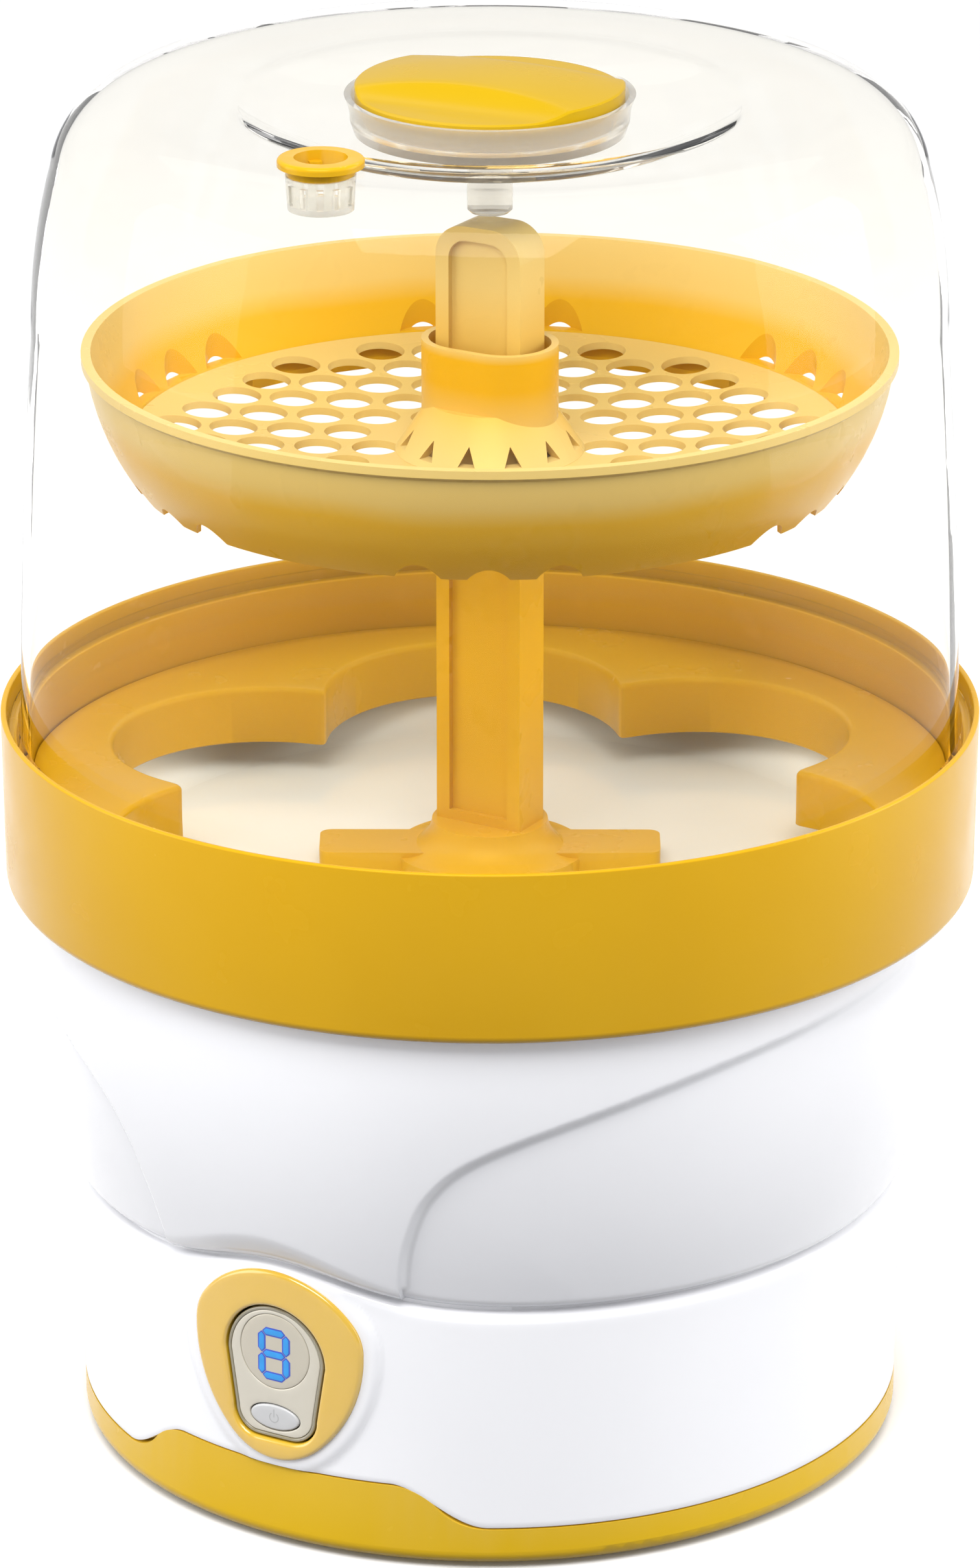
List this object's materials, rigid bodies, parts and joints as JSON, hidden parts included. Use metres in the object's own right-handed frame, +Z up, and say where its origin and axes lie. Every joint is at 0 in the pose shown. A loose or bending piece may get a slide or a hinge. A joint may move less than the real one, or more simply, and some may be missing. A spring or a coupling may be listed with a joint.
{
  "type": "bottle sterilizer",
  "caption": "Electric steam sterilizer for baby bottles: round base with display and button, lift-off lobed rack, column stand, perforated tray and clear domed hood.",
  "frame": {"origin": "on the table under the middle of the round base", "axes": "+Z up along the axis of the base and hood, control panel facing -Y, cord inlet at the back on +Y"},
  "size_m": [0.2452, 0.2452, 0.3532],
  "materials": {
    "yellow_plastic": "satin moulded polypropylene",
    "white_plastic": "high-gloss moulded ABS",
    "clear_plastic": "clear moulded plastic",
    "milky_plastic": "milky translucent plastic",
    "basin_coating": "cream coated steel",
    "silicone": "soft silicone",
    "rubber": "soft rubber",
    "aluminium": "die cast",
    "element_steel": "sheathed heater tube",
    "steel": "zinc plated",
    "champagne_panel": "metallic champagne",
    "lens_plastic": "tinted lens",
    "digit_blue": "lit blue",
    "button_silver": "silver lacquer",
    "board_green": "solder mask",
    "black_plastic": "moulded",
    "relay_blue": "moulded",
    "cream_plastic": "moulded nylon",
    "wire_brown": "insulated wire",
    "wire_blue": "insulated wire",
    "wire_white": "insulated wire"
  },
  "bodies": {
    "base": {"bottom_shell": "yellow_plastic", "lower_housing": "white_plastic", "upper_housing": "white_plastic", "heater_basin": "basin_coating", "basin_seal": "silicone", "heating_plate": "aluminium", "heating_element": "element_steel", "element_pins": "steel", "thermostat": "steel", "thermal_fuse": "wire_white", "plate_strap_1": "steel", "plate_strap_2": "steel", "plate_strap_3": "steel", "strap_screws": "steel", "panel_bezel": "yellow_plastic", "window_panel": "champagne_panel", "display_lens": "lens_plastic", "display_digit": "digit_blue", "control_board": "board_green", "display_module": "black_plastic", "tact_switch": "black_plastic", "power_relay": "relay_blue", "transformer": "black_plastic", "mains_connector": "cream_plastic", "sensor_connector": "cream_plastic", "capacitor": "black_plastic", "board_bracket": "cream_plastic", "board_screws": "steel", "cord_inlet": "white_plastic", "cord_clamp": "cream_plastic", "clamp_screws": "steel", "terminal_block": "cream_plastic", "lead_neutral": "wire_blue", "lead_live": "wire_brown", "lead_board": "wire_white", "lead_sensor": "wire_white", "base_screws": "steel", "foot_front_left": "rubber", "foot_front_right": "rubber", "foot_rear_right": "rubber", "foot_rear_left": "rubber"},
    "button": {"power_button": "button_silver", "switch_plunger": "black_plastic"},
    "rack": {"rack_collar": "yellow_plastic", "rack_insert": "yellow_plastic"},
    "stand": {"stand_column": "yellow_plastic", "stand_foot": "yellow_plastic"},
    "tray": {"tray_bowl": "yellow_plastic", "tray_floor": "yellow_plastic", "tray_sleeve": "yellow_plastic"},
    "hood": {"hood_shell": "clear_plastic", "knob_cup": "milky_plastic", "hood_knob": "yellow_plastic", "knob_stem": "milky_plastic", "knob_nut": "milky_plastic", "vent_ring": "yellow_plastic", "vent_cage": "milky_plastic"}
  },
  "joints": [
    {"name": "button_press", "type": "slide", "parent": "base", "child": "button", "axis": [0, 1, 0], "range_m": [0, 0.0012], "stiffness_N_per_m": 400, "springref_m": -0.0005},
    {"name": "rack_lift", "type": "slide", "parent": "base", "child": "rack", "axis": [0, 0, 1], "range_m": [0, 0.06]},
    {"name": "stand_lift", "type": "slide", "parent": "rack", "child": "stand", "axis": [0, 0, 1], "range_m": [0, 0.09]},
    {"name": "tray_lift", "type": "slide", "parent": "stand", "child": "tray", "axis": [0, 0, 1], "range_m": [0, 0.075]},
    {"name": "hood_lift", "type": "slide", "parent": "tray", "child": "hood", "axis": [0, 0, 1], "range_m": [0, 0.16]}
  ]
}
